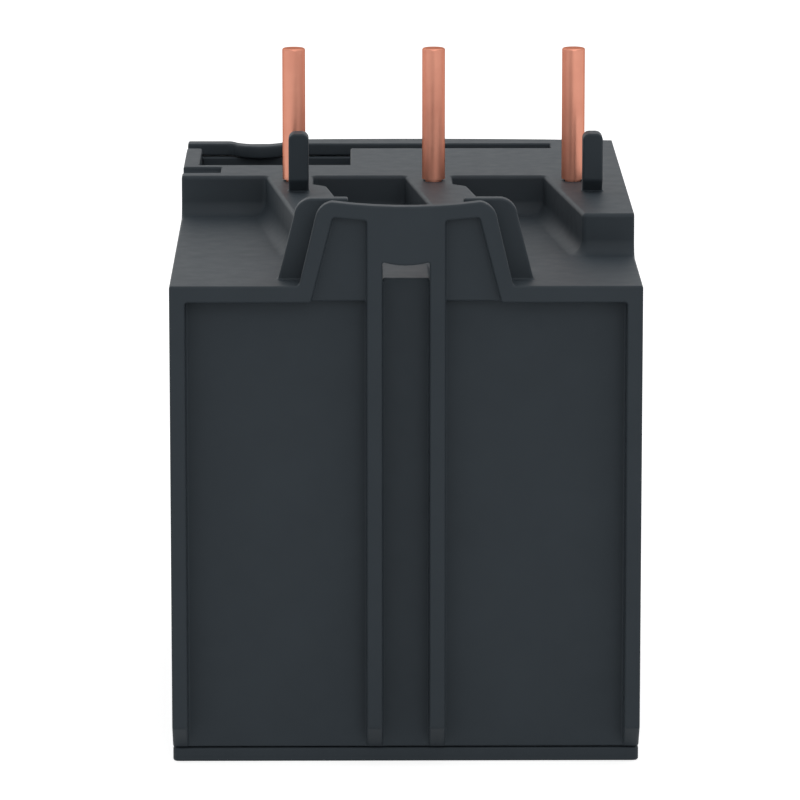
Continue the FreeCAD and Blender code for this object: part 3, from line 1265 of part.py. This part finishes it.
MAKERS = (rear_housing, bottom_plate, terminal_block, front_fascia, clear_cover, cover_hinge_pins,
          dial_scale_ring, setting_dial, setting_cam, adjusting_lever, adjusting_lever_pin, reset_plunger,
          reset_knob, stop_button, button_springs, test_slider, flag_carrier, trip_flag, phase_pins,
          bimetals, heaters, pole_leads, power_bars, power_clamps, power_clamp_screws, pole_base,
          pole_partitions, slide_bar, differential_bar, differential_lever, chassis_plate, fixed_contacts,
          blade_terminals, moving_contacts, compensation_lever, trip_lever, lever_axles, control_washers,
          control_screws, trip_spring)
for make in MAKERS:
    make()

# ---- export ------------------------------------------------------------------------------

doc.recompute()
for item in doc.Objects:
    if "Invalid" in item.State or "Error" in item.State:
        raise RuntimeError(f"{item.Label} failed: {item.State}")
    if item.TypeId == "PartDesign::Pocket" and item.Shape.Volume >= item.BaseFeature.Shape.Volume:
        raise RuntimeError(f"{item.Label} cuts nothing")
os.makedirs("parts", exist_ok=True)
for node in nodes:
    if node.Shape.isNull() or not node.Shape.isValid():
        raise RuntimeError(f"{node.Label} has no valid shape")
    node.Shape.exportStep(f"parts/{node.Label}.step")
    print(f"{node.Label}: {len(node.Shape.Solids)} solid(s), {node.Shape.Volume:.2f} mm3")
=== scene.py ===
import bpy
import bmesh
import json
import math
import numpy as np
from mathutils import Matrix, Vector

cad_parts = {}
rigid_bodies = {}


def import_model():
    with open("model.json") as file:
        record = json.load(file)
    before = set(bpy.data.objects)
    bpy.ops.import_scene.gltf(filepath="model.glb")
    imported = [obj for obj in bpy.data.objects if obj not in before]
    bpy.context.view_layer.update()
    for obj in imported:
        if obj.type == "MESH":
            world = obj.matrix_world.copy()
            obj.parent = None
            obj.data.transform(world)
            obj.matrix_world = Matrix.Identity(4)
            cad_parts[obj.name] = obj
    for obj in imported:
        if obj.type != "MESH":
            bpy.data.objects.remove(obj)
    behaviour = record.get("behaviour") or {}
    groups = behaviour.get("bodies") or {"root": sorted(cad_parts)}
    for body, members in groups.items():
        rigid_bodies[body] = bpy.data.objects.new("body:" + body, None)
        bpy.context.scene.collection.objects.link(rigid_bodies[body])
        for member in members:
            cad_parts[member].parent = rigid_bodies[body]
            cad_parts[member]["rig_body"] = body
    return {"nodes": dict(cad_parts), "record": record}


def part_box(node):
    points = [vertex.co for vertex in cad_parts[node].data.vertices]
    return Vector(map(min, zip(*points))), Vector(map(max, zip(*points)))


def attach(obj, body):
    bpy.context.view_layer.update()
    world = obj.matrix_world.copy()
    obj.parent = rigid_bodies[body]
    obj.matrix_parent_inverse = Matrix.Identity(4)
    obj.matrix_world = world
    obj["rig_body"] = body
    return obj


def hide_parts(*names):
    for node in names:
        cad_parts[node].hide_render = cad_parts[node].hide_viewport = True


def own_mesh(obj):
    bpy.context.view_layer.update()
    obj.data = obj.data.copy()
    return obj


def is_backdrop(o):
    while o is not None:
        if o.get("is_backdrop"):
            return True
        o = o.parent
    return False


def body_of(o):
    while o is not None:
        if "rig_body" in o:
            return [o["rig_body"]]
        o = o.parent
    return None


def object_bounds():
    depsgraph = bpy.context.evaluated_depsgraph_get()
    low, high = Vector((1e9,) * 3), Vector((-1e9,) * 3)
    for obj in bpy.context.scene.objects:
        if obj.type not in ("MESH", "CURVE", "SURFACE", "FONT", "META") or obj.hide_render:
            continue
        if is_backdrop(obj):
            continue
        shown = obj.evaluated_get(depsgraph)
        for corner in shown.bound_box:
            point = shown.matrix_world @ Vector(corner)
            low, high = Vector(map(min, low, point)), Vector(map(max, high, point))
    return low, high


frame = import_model()
cadLow, cadHigh = (Vector(corner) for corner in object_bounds())
nodes = frame["nodes"]
mm = 0.001
print("frame loaded:", len(nodes), "nodes")


# small helpers for node trees

def newMaterial(name):
    material = bpy.data.materials.new(name)
    material.use_nodes = True
    tree = material.node_tree
    return material, tree, tree.nodes["Principled BSDF"]


def addNode(tree, kind, **settings):
    node = tree.nodes.new(kind)
    for key, setting in settings.items():
        if key in node.inputs:
            node.inputs[key].default_value = setting
        else:
            setattr(node, key, setting)
    return node


def objectPlace(tree, stretch=(1, 1, 1)):
    # object coordinates, squeezed along an axis for drawn or brushed lines
    place = tree.nodes.new("ShaderNodeTexCoord")
    mapping = addNode(tree, "ShaderNodeMapping", Scale=stretch)
    tree.links.new(place.outputs["Object"], mapping.inputs["Vector"])
    return mapping.outputs["Vector"]


def noiseAt(tree, place, size, detail=3.0, rough=0.55):
    # noise whose grains are about size metres across
    noise = addNode(tree, "ShaderNodeTexNoise", Scale=1 / size, Detail=detail, Roughness=rough)
    tree.links.new(place, noise.inputs["Vector"])
    return noise.outputs["Fac"]


def span(tree, value, low, high, fromLow=0.3, fromHigh=0.7):
    # the noise's usual range mapped onto low to high
    ramp = addNode(tree, "ShaderNodeMapRange")
    for name, number in (("From Min", fromLow), ("From Max", fromHigh), ("To Min", low), ("To Max", high)):
        ramp.inputs[name].default_value = number
    tree.links.new(value, ramp.inputs["Value"])
    return ramp.outputs["Result"]


def tint(tree, factor, first, second):
    mix = addNode(tree, "ShaderNodeMix", data_type="RGBA")
    colours = [socket for socket in mix.inputs if socket.type == "RGBA"]
    colours[0].default_value = (*first, 1)
    colours[1].default_value = (*second, 1)
    tree.links.new(factor, mix.inputs[0])
    return next(socket for socket in mix.outputs if socket.type == "RGBA")


def bump(tree, shader, height, depth):
    # depth is the relief in metres between noise 0 and 1
    node = addNode(tree, "ShaderNodeBump", Strength=1, Distance=depth)
    tree.links.new(height, node.inputs["Height"])
    tree.links.new(node.outputs["Normal"], shader.inputs["Normal"])


# sizes of the colour's patches and of the flow marks in the gloss, in metres
moulding = {"patch": 6 * mm, "flow": 1.7 * mm}


# spark-eroded moulding: fine grain, slow flow marks in the gloss, faint patches in the colour
def mouldedPlastic(name, colour, shade=0.06, rough=(0.4, 0.5), grain=0.16 * mm, relief=0.004 * mm, gloss=0.5):
    material, tree, shader = newMaterial(name)
    place = objectPlace(tree)
    patches = noiseAt(tree, place, moulding["patch"], 4)
    pale = tuple(min(1, part * (1 + shade)) for part in colour)
    deep = tuple(part * (1 - shade) for part in colour)
    tree.links.new(tint(tree, span(tree, patches, 0, 1), deep, pale), shader.inputs["Base Color"])
    flow = noiseAt(tree, place, moulding["flow"], 5)
    tree.links.new(span(tree, flow, *rough), shader.inputs["Roughness"])
    shader.inputs["Specular IOR Level"].default_value = gloss
    bump(tree, shader, noiseAt(tree, place, grain, 2), relief)
    return material


# squeeze draws the noise out into lines; spots of tarnish lie where their noise is between from and to
drawing = {"squeeze": 0.04, "lineRough": 0.65, "spot": 3 * mm, "from": 0.35, "to": 0.75}


# drawn or brushed metal: lines that run along one axis, with faint tarnish
def drawnMetal(name, colour, tarnished, rough=(0.25, 0.4), along="z", lineSize=0.12 * mm, relief=0.003 * mm,
               edge=(1, 1, 1)):
    material, tree, shader = newMaterial(name)
    stretch = tuple(drawing["squeeze"] if axis == along else 1 for axis in "xyz")
    lines = noiseAt(tree, objectPlace(tree, stretch), lineSize, 4, drawing["lineRough"])
    spots = noiseAt(tree, objectPlace(tree), drawing["spot"], 5)
    tarnish = span(tree, spots, 0, 1, drawing["from"], drawing["to"])
    tree.links.new(tint(tree, tarnish, colour, tarnished), shader.inputs["Base Color"])
    shader.inputs["Metallic"].default_value = 1
    shader.inputs["Specular Tint"].default_value = (*edge, 1)
    tree.links.new(span(tree, lines, *rough), shader.inputs["Roughness"])
    bump(tree, shader, lines, relief)
    return material


# clear acrylic: a faint haze in patches, and slow waves from the moulding
flap = {"colour": (0.95, 0.97, 0.98), "bending": 1.49, "rough": (0.02, 0.07), "haze": 2.5 * mm,
        "wave": 5 * mm, "relief": 0.004 * mm}


def clearPlastic(name):
    material, tree, shader = newMaterial(name)
    shader.inputs["Base Color"].default_value = (*flap["colour"], 1)
    shader.inputs["Transmission Weight"].default_value = 1
    shader.inputs["IOR"].default_value = flap["bending"]
    place = objectPlace(tree)
    haze = noiseAt(tree, place, flap["haze"], 4)
    tree.links.new(span(tree, haze, *flap["rough"]), shader.inputs["Roughness"])
    bump(tree, shader, noiseAt(tree, place, flap["wave"], 2), flap["relief"])
    return material


# one look for each material slot of the record
looks = {
    "black_plastic": mouldedPlastic("charcoalPlastic", (0.0365, 0.0462, 0.055), 0.04, (0.5, 0.57),
                                    relief=0.0025 * mm, gloss=0.14),
    "white_plastic": mouldedPlastic("whitePlastic", (0.76, 0.76, 0.72), 0.03, (0.34, 0.42)),
    "grey_plastic": mouldedPlastic("greyPlastic", (0.27, 0.28, 0.29)),
    "natural_plastic": mouldedPlastic("naturalNylon", (0.68, 0.6, 0.46), 0.06, (0.35, 0.5)),
    "phenolic_brown": mouldedPlastic("phenolicBrown", (0.11, 0.06, 0.038), 0.18, (0.38, 0.55), 0.25 * mm,
                                     0.006 * mm),
    "blue_plastic": mouldedPlastic("blueButton", (0.02, 0.13, 0.46), 0.05, (0.26, 0.34)),
    "red_plastic": mouldedPlastic("redButton", (0.56, 0.022, 0.018), 0.05, (0.26, 0.34)),
    "orange_plastic": mouldedPlastic("orangeFlag", (0.85, 0.22, 0.02), 0.05, (0.35, 0.45)),
    "clear_plastic": clearPlastic("clearFlap"),
    "copper": drawnMetal("drawnCopper", (0.66, 0.29, 0.205), (0.6, 0.25, 0.175), (0.36, 0.44),
                         lineSize=0.2 * mm, relief=0.0005 * mm, edge=(0.5, 0.3, 0.24)),
    "brass_metal": drawnMetal("stampedBrass", (0.72, 0.52, 0.24), (0.58, 0.4, 0.19), (0.24, 0.4), "x"),
    "plated_steel": drawnMetal("zincPlate", (0.62, 0.6, 0.54), (0.52, 0.5, 0.42), (0.22, 0.38), "x"),
    "spring_steel": drawnMetal("springSteel", (0.5, 0.5, 0.5), (0.38, 0.38, 0.38), (0.2, 0.34)),
    "bimetal_strip": drawnMetal("bimetalStrip", (0.52, 0.47, 0.4), (0.42, 0.36, 0.29), (0.24, 0.4)),
    "heater_wire": drawnMetal("heaterWire", (0.24, 0.22, 0.2), (0.14, 0.12, 0.12), (0.35, 0.55)),
    "silver_bronze": drawnMetal("springBronze", (0.66, 0.44, 0.25), (0.56, 0.36, 0.2), (0.22, 0.36), "y"),
}
slotOf = {entry["node"]: entry["material_slot"] for entry in frame["record"]["subparts"]}
for name, node in nodes.items():
    for place in node.material_slots:
        place.material = looks[slotOf[name]]
print("materials set")


# a moulding's copy with its edges rounded over: the rounding in millimetres for each node
rounding = {
    "rear_housing": 0.22, "bottom_plate": 0.2, "terminal_block": 0.22, "front_fascia": 0.15,
    "clear_cover": 0.22, "setting_dial": 0.14, "dial_scale_ring": 0.08, "reset_knob": 0.2,
    "stop_button": 0.2, "test_slider": 0.1, "pole_base": 0.2,
}
rounding.update({f"power_clamp_{pole}": 0.12 for pole in (1, 2, 3)})


def camel(name):
    first, *rest = name.split("_")
    return first + "".join(word.capitalize() for word in rest)


# merge is the reach for doubled points in metres; angles are in degrees; weight favours the large faces
soft = {"merge": 0.001 * mm, "flat": 0.5, "sharp": 32, "segments": 3, "weight": 80}


def softened(node, width):
    source = nodes[node]
    mesh = source.data.copy()
    shape = bmesh.new()
    shape.from_mesh(mesh)
    bmesh.ops.remove_doubles(shape, verts=shape.verts, dist=soft["merge"])
    bmesh.ops.dissolve_limit(shape, angle_limit=math.radians(soft["flat"]), verts=shape.verts,
                             edges=shape.edges, delimit={"NORMAL"})
    shape.to_mesh(mesh)
    shape.free()
    mesh.polygons.foreach_set("use_smooth", np.ones(len(mesh.polygons), dtype=bool))
    mesh.materials.clear()
    mesh.materials.append(looks[slotOf[node]])
    piece = bpy.data.objects.new(camel(node), mesh)
    bpy.context.scene.collection.objects.link(piece)
    edges = piece.modifiers.new("edges", "BEVEL")
    edges.width = width * mm
    edges.segments = soft["segments"]
    edges.limit_method = "ANGLE"
    edges.angle_limit = math.radians(soft["sharp"])
    edges.use_clamp_overlap = False
    edges.miter_outer = "MITER_ARC"
    shading = piece.modifiers.new("shading", "WEIGHTED_NORMAL")
    shading.weight = soft["weight"]
    shading.keep_sharp = False
    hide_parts(node)
    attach(piece, body_of(source)[0])


# each return spring is pressed against its seat by its own button
springs = {"reset_spring": "reset_push", "stop_spring": "stop_push"}


def pressedSpring(node):
    piece = bpy.data.objects.new(camel(node), nodes[node].data.copy())
    bpy.context.scene.collection.objects.link(piece)
    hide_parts(node)
    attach(piece, "root")
    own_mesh(piece)


# the scale round the dial: angles in degrees clockwise from the top, lengths in millimetres
scale = {
    "first": -135, "sweep": 270, "marks": 25, "longEvery": 6, "outer": 6.05, "short": 0.35, "long": 0.55,
    "width": 0.12, "numbers": (1, 2, 3, 4, 5), "textSize": 1.1, "textRing": 4.9, "print": 0.02,
    "pointerTip": 4.1, "pointerFoot": 3.1, "pointerHalf": 0.5,
}


def dialCentre():
    low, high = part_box("dial_scale_ring")
    return Vector(((low[0] + high[0]) / 2, low[1], (low[2] + high[2]) / 2))


# black ink on a plane that faces the front: x runs left to right as seen from the front
def printedPiece(name, corners, faces, front, body):
    mesh = bpy.data.meshes.new(name)
    points = np.column_stack([corners[:, 0], np.full(len(corners), front), corners[:, 1]])
    mesh.from_pydata(points.tolist(), [], faces)
    mesh.materials.append(looks["black_plastic"])
    piece = bpy.data.objects.new(name, mesh)
    bpy.context.scene.collection.objects.link(piece)
    thick = piece.modifiers.new("ink", "SOLIDIFY")
    thick.thickness = scale["print"] * mm
    thick.offset = 1
    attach(piece, body)


def scaleMarks():
    # each mark is a bar from the radius outer - length to outer, along its angle, half a width each side
    centre = dialCentre()
    index = np.arange(scale["marks"])
    angle = np.radians(scale["first"] + scale["sweep"] * index / (scale["marks"] - 1))
    length = np.where(index % scale["longEvery"] == 0, scale["long"], scale["short"])
    along = np.column_stack([np.sin(angle), np.cos(angle)])
    across = np.column_stack([np.cos(angle), -np.sin(angle)]) * scale["width"] / 2
    inner = along * (scale["outer"] - length)[:, None]
    outer = along * scale["outer"]
    bars = np.stack([inner - across, inner + across, outer + across, outer - across], axis=1)
    corners = bars.reshape(-1, 2) * mm + np.array([centre.x, centre.z])
    faces = np.arange(len(corners)).reshape(-1, 4).tolist()
    printedPiece("scaleMarks", corners, faces, centre.y, "root")


def scaleNumbers():
    centre = dialCentre()
    shape = bmesh.new()
    for place, number in enumerate(scale["numbers"]):
        turn = math.radians(scale["first"] + scale["sweep"] * place / (len(scale["numbers"]) - 1))
        words = bpy.data.curves.new("number", "FONT")
        words.body = str(number)
        words.size = scale["textSize"] * mm
        words.align_x, words.align_y = "CENTER", "CENTER"
        words.extrude = scale["print"] * mm / 2
        holder = bpy.data.objects.new("number", words)
        bpy.context.scene.collection.objects.link(holder)
        bpy.context.view_layer.update()
        seen = holder.evaluated_get(bpy.context.evaluated_depsgraph_get())
        digit = bpy.data.meshes.new_from_object(seen)
        radius = scale["textRing"] * mm
        # the text lies in its own x and y: x goes right, y goes up, and its face looks forwards
        points = np.empty(len(digit.vertices) * 3)
        digit.vertices.foreach_get("co", points)
        points = points.reshape(-1, 3)
        # each digit is centred on its own outline
        points[:, :2] -= (points[:, :2].min(axis=0) + points[:, :2].max(axis=0)) / 2
        placed = np.column_stack([points[:, 0] + centre.x + radius * math.sin(turn),
                                  centre.y - scale["print"] * mm / 2 - points[:, 2],
                                  points[:, 1] + centre.z + radius * math.cos(turn)])
        digit.vertices.foreach_set("co", placed.ravel())
        shape.from_mesh(digit)
        print("number", number, len(digit.vertices), "points")
        bpy.data.objects.remove(holder)
    mesh = bpy.data.meshes.new("scaleNumbers")
    bmesh.ops.recalc_face_normals(shape, faces=shape.faces)
    shape.to_mesh(mesh)
    shape.free()
    mesh.materials.append(looks["black_plastic"])
    piece = bpy.data.objects.new("scaleNumbers", mesh)
    bpy.context.scene.collection.objects.link(piece)
    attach(piece, "root")


def dialPointer():
    # a triangle on the knob's face that points at the start of the scale
    centre = dialCentre()
    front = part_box("setting_dial")[0][1]
    turn = math.radians(scale["first"])
    along = np.array([math.sin(turn), math.cos(turn)])
    across = np.array([math.cos(turn), -math.sin(turn)]) * scale["pointerHalf"]
    foot = along * scale["pointerFoot"]
    corners = np.array([along * scale["pointerTip"], foot + across, foot - across])
    corners = corners * mm + np.array([centre.x, centre.z])
    printedPiece("dialPointer", corners, [(0, 1, 2)], front, "dial")


def addDialScale():
    scaleMarks()
    scaleNumbers()
    dialPointer()


# the camera's place in metres, its turns in degrees, its lens and sensor in millimetres
view = {"place": (0.005, 0.571, 0.13915), "down": 10.89, "aside": 0.472, "lens": 258.2, "sensor": 36,
        "nearest": 0.01}


def addCamera():
    data = bpy.data.cameras.new("camera")
    data.lens = view["lens"]
    data.sensor_width = view["sensor"]
    data.clip_start = view["nearest"]
    data.dof.use_dof = False
    camera = bpy.data.objects.new("camera", data)
    camera.location = view["place"]
    camera.rotation_euler = (math.radians(90 - view["down"]), 0, math.radians(180 - view["aside"]))
    bpy.context.scene.collection.objects.link(camera)
    bpy.context.scene.camera = camera


# each lamp's place and width in metres, its power in watts; all look at the object's middle
lamps = {
    "topSoftbox": {"place": (-0.12, 0.0, 0.8), "size": 0.9, "watts": 1.3},
    "frontFill": {"place": (0.5, -0.8, 0.55), "size": 0.8, "watts": 0.75},
    "rearFill": {"place": (-0.15, 0.95, 0.45), "size": 0.7, "watts": 1.6},
}
middle = (0, 0, 0.03)
worldStrength = {"falling": 0.46, "seen": 1.0}   # light that falls on the object, and the white that is seen


def addLamp(name, place, size, watts):
    data = bpy.data.lights.new(name, "AREA")
    data.shape = "DISK"
    data.size = size
    data.energy = watts
    lamp = bpy.data.objects.new(name, data)
    lamp.location = place
    lamp.rotation_euler = (Vector(middle) - Vector(place)).to_track_quat("-Z", "Y").to_euler()
    bpy.context.scene.collection.objects.link(lamp)


# 1 where the studio is seen by the eye, through the clear flap or in a gloss, otherwise 0
def plainlySeen(tree):
    rays = tree.nodes.new("ShaderNodeLightPath")
    seen = rays.outputs["Is Camera Ray"]
    for kind in ("Is Transmission Ray", "Is Glossy Ray"):
        either = addNode(tree, "ShaderNodeMath", operation="MAXIMUM")
        tree.links.new(seen, either.inputs[0])
        tree.links.new(rays.outputs[kind], either.inputs[1])
        seen = either.outputs[0]
    return seen


def addStudio():
    for name, lamp in lamps.items():
        addLamp(name, **lamp)
    world = bpy.data.worlds.new("studio")
    bpy.context.scene.world = world
    world.use_nodes = True
    tree = world.node_tree
    back = tree.nodes["Background"]
    strength = addNode(tree, "ShaderNodeMapRange")
    strength.inputs["To Min"].default_value = worldStrength["falling"]
    strength.inputs["To Max"].default_value = worldStrength["seen"]
    tree.links.new(plainlySeen(tree), strength.inputs["Value"])
    tree.links.new(strength.outputs["Result"], back.inputs["Strength"])
    back.inputs["Color"].default_value = (1, 1, 1, 1)


# a pale floor that lies a hair under the foot, so the two never share a plane; lift whitens it to the eye
ground = {"reach": 3.0, "gap": 0.02 * mm, "colour": (0.75, 0.75, 0.75), "rough": 0.9, "lift": 0.72}


def addFloor():
    reach, low = ground["reach"], cadLow.z - ground["gap"]
    corners = [(-reach, -reach, low), (reach, -reach, low), (reach, reach, low), (-reach, reach, low)]
    mesh = bpy.data.meshes.new("floor")
    mesh.from_pydata(corners, [], [(0, 1, 2, 3)])
    floor = bpy.data.objects.new("floor", mesh)
    bpy.context.scene.collection.objects.link(floor)
    material, tree, shader = newMaterial("paleFloor")
    shader.inputs["Base Color"].default_value = (*ground["colour"], 1)
    shader.inputs["Roughness"].default_value = ground["rough"]
    shader.inputs["Specular IOR Level"].default_value = 0
    shader.inputs["Emission Color"].default_value = (1, 1, 1, 1)
    lift = addNode(tree, "ShaderNodeMath", operation="MULTIPLY")
    lift.inputs[1].default_value = ground["lift"]
    tree.links.new(plainlySeen(tree), lift.inputs[0])
    tree.links.new(lift.outputs[0], shader.inputs["Emission Strength"])
    mesh.materials.append(material)
    floor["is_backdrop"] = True


addCamera()
addStudio()
addFloor()
bpy.context.scene.view_settings.view_transform = "Standard"
print("studio set")
for name, width in rounding.items():
    softened(name, width)
print("mouldings rounded:", len(rounding))
for name, joint in springs.items():
    pressedSpring(name)
print("springs set:", len(springs))
addDialScale()
print("dial scale set")
